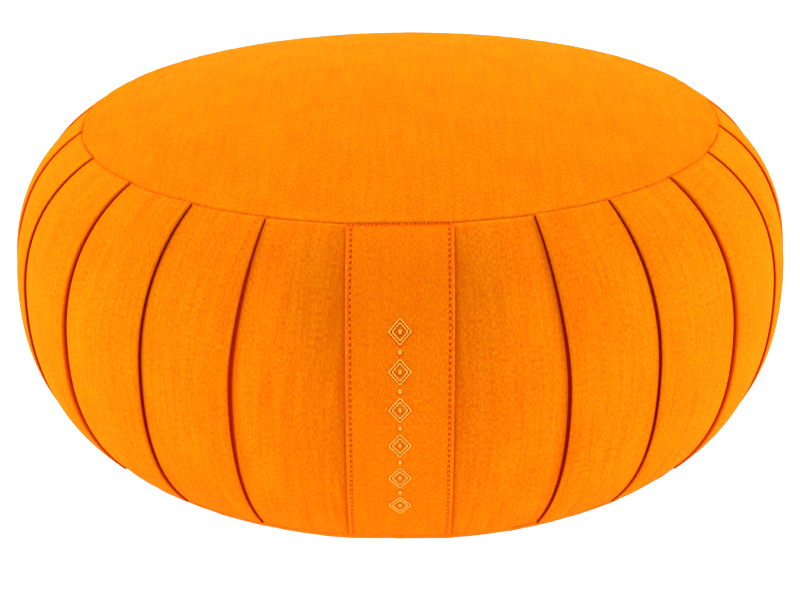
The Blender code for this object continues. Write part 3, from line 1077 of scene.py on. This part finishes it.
# Colours of painted shade: in the needle holes, beside the embroidery, and in the creases.
HOLE_SHADE_COLOUR = (0.34, 0.030, 0.0004, 1.0)
EMBROIDERY_SHADE_COLOUR = (0.62, 0.072, 0.0005, 1.0)
CREASE_SHADE_COLOUR = (0.80, 0.054, 0.0004, 1.0)
HOLE_PLACES = {
    "Middle": float(strip_middle),
    "Off middle": STITCH_LINE / MM,
    "Pitch": band_length / stitch_count / MM,
}
MOTIF_PLACES = {
    "Middle": float(strip_middle),
    "First": cloth_height(first_lozenge),
    "Last": cloth_height(first_lozenge + lozenge_step * (LOZENGES - 1) + lozenge_half_height) + 0.8,
    "Step": lozenge_step / MM,
    "Half width": LOZENGE_HALF_WIDTH / MM,
    "Half height": lozenge_half_height / MM,
}
canvas = woven(
    "orange canvas",
    (0.88, 0.252, 0.0014, 1.0),
    (0.75, 0.091, 0.0007, 1.0),
    {"Rib pitch": 0.70, "Rib share": 0.60, "Slub share": 2.6, "Streak share": 1.0, "Dye share": 0.3},
    0.10,
)
# The top's canvas has its own weave values, and colours about a tenth darker than the band's, which paints shade on
# the top.
top_canvas_painted_darker = woven(
    "orange canvas on top, painted darker",
    (0.78, 0.224, 0.0010, 1.0),
    (0.67, 0.104, 0.0005, 1.0),
    {"Rib pitch": 0.66, "Rib share": 0.30, "Slub share": 3.6, "Streak share": 0.8, "Dye share": 0.5},
    0.10,
)
twill = woven(
    "orange twill",
    (0.94, 0.268, 0.0010, 1.0),
    (0.81, 0.080, 0.0005, 1.0),
    {"Rib pitch": 0.85, "Rib share": 0.80, "Slub share": 2.0, "Streak share": 0.4, "Dye share": 0.2},
    0.14,
    [(needle_hole_shade, HOLE_PLACES, HOLE_SHADE_COLOUR), (embroidery_shade, MOTIF_PLACES, EMBROIDERY_SHADE_COLOUR)],
)
pleated_body.data.materials.append(canvas)
base_round.data.materials.append(canvas)
top_round.data.materials.append(top_canvas_painted_darker)
closing_strip.data.materials.append(twill)


# %% Thread
def thread_material(name, dark, light, gloss):
    """Sewing thread, with light and dark plies."""
    material = bpy.data.materials.new(name)
    material.use_nodes = True
    tree = material.node_tree
    shader = tree.nodes["Principled BSDF"]
    coordinates = tree.nodes.new("ShaderNodeTexCoord")
    tone = noise(tree, coordinates.outputs["Object"], 1200.0, 2.0)
    mix = tree.nodes.new("ShaderNodeMix")
    mix.data_type = "RGBA"
    put(mix.inputs["Factor"], tone)
    put(mix.inputs["A"], dark)
    put(mix.inputs["B"], light)
    put(shader.inputs["Base Color"], mix.outputs["Result"])
    put(shader.inputs["Roughness"], 0.5)
    put(shader.inputs["Specular IOR Level"], gloss)
    return material


sewing_thread = thread_material("orange sewing thread", (0.84, 0.16, 0.002, 1.0), (0.98, 0.36, 0.010, 1.0), 0.1)
satin_thread = thread_material("golden satin thread", (0.95, 0.28, 0.004, 1.0), (1.0, 0.62, 0.055, 1.0), 0.3)
for piece in (strip_stitches, top_stitches, base_stitches):
    piece.data.materials.append(sewing_thread)
satin_motif.data.materials.append(satin_thread)

# %% [markdown]
# ## Floor, light and camera
#
# The cushion was shot on white with large soft lights, so it has almost no cast shadow and the
# creases carry all the drawing. The camera looks down at about twenty degrees through a long lens.


# %% Floor
def floor_material():
    material = bpy.data.materials.new("pale floor")
    material.use_nodes = True
    tree = material.node_tree
    shader = tree.nodes["Principled BSDF"]
    coordinates = tree.nodes.new("ShaderNodeTexCoord")
    tone = noise(tree, coordinates.outputs["Object"], 4.0, 3.0)
    mix = tree.nodes.new("ShaderNodeMix")
    mix.data_type = "RGBA"
    put(mix.inputs["Factor"], tone)
    put(mix.inputs["A"], (0.24, 0.24, 0.24, 1.0))
    put(mix.inputs["B"], (0.27, 0.27, 0.27, 1.0))
    put(shader.inputs["Base Color"], mix.outputs["Result"])
    put(shader.inputs["Roughness"], 0.9)
    put(shader.inputs["Emission Color"], (1.0, 1.0, 1.0, 1.0))
    put(shader.inputs["Emission Strength"], 1.25)
    return material


FLOOR_DROP = 0.2 * MM
floor_bm = bmesh.new()
bmesh.ops.create_grid(floor_bm, x_segments=1, y_segments=1, size=6.0)
bmesh.ops.translate(floor_bm, verts=floor_bm.verts, vec=(0, 0, -FLOOR_DROP))
floor_mesh = bpy.data.meshes.new("floor")
floor_bm.to_mesh(floor_mesh)
floor_bm.free()
floor = bpy.data.objects.new("floor", floor_mesh)
floor_mesh.materials.append(floor_material())
bpy.context.scene.collection.objects.link(floor)


# %% Lights
def soft_light(name, place, aim, size, power):
    data = bpy.data.lights.new(name, "AREA")
    data.shape = "DISK"
    data.size = size
    data.energy = power
    light = bpy.data.objects.new(name, data)
    light.location = place
    light.rotation_euler = (Vector(aim) - Vector(place)).to_track_quat("-Z", "Y").to_euler()
    bpy.context.scene.collection.objects.link(light)


MIDDLE = (0, 0, 0.06)
soft_light("left", (-1.56, 0.08, 0.37), MIDDLE, 1.1, 29)
soft_light("right", (1.56, 0.08, 0.37), MIDDLE, 1.1, 29)
soft_light("above", (0.0, 0.36, 0.58), MIDDLE, 0.4, 3.3)


# %% The white room
HORIZON = 1.0
ZENITH = 0.8
BEHIND = 0.15

world = bpy.data.worlds.new("white room")
world.use_nodes = True
room = world.node_tree
looking = room.nodes.new("ShaderNodeTexCoord")
direction = room.nodes.new("ShaderNodeSeparateXYZ")
put(direction.inputs[0], looking.outputs["Generated"])
upwards = maths(room, "MULTIPLY_ADD", direction.outputs["Z"], ZENITH - HORIZON, HORIZON)
strength = maths(room, "MULTIPLY_ADD", direction.outputs["Y"], BEHIND, upwards)
put(room.nodes["Background"].inputs["Color"], (1, 1, 1, 1))
put(room.nodes["Background"].inputs["Strength"], strength)
bpy.context.scene.world = world

# %% Camera
CAMERA_PLACE = Vector((0.0, -0.6967, 0.3503))
CAMERA_AIM = Vector((0.0, 0.0, 0.0407))
camera_data = bpy.data.cameras.new("camera")
camera_data.lens = 77.0
camera_data.sensor_width = 36.0
camera = bpy.data.objects.new("camera", camera_data)
camera.location = CAMERA_PLACE
camera.rotation_euler = (CAMERA_AIM - CAMERA_PLACE).to_track_quat("-Z", "Y").to_euler()
bpy.context.scene.collection.objects.link(camera)
bpy.context.scene.camera = camera
bpy.context.scene.view_settings.view_transform = "Standard"
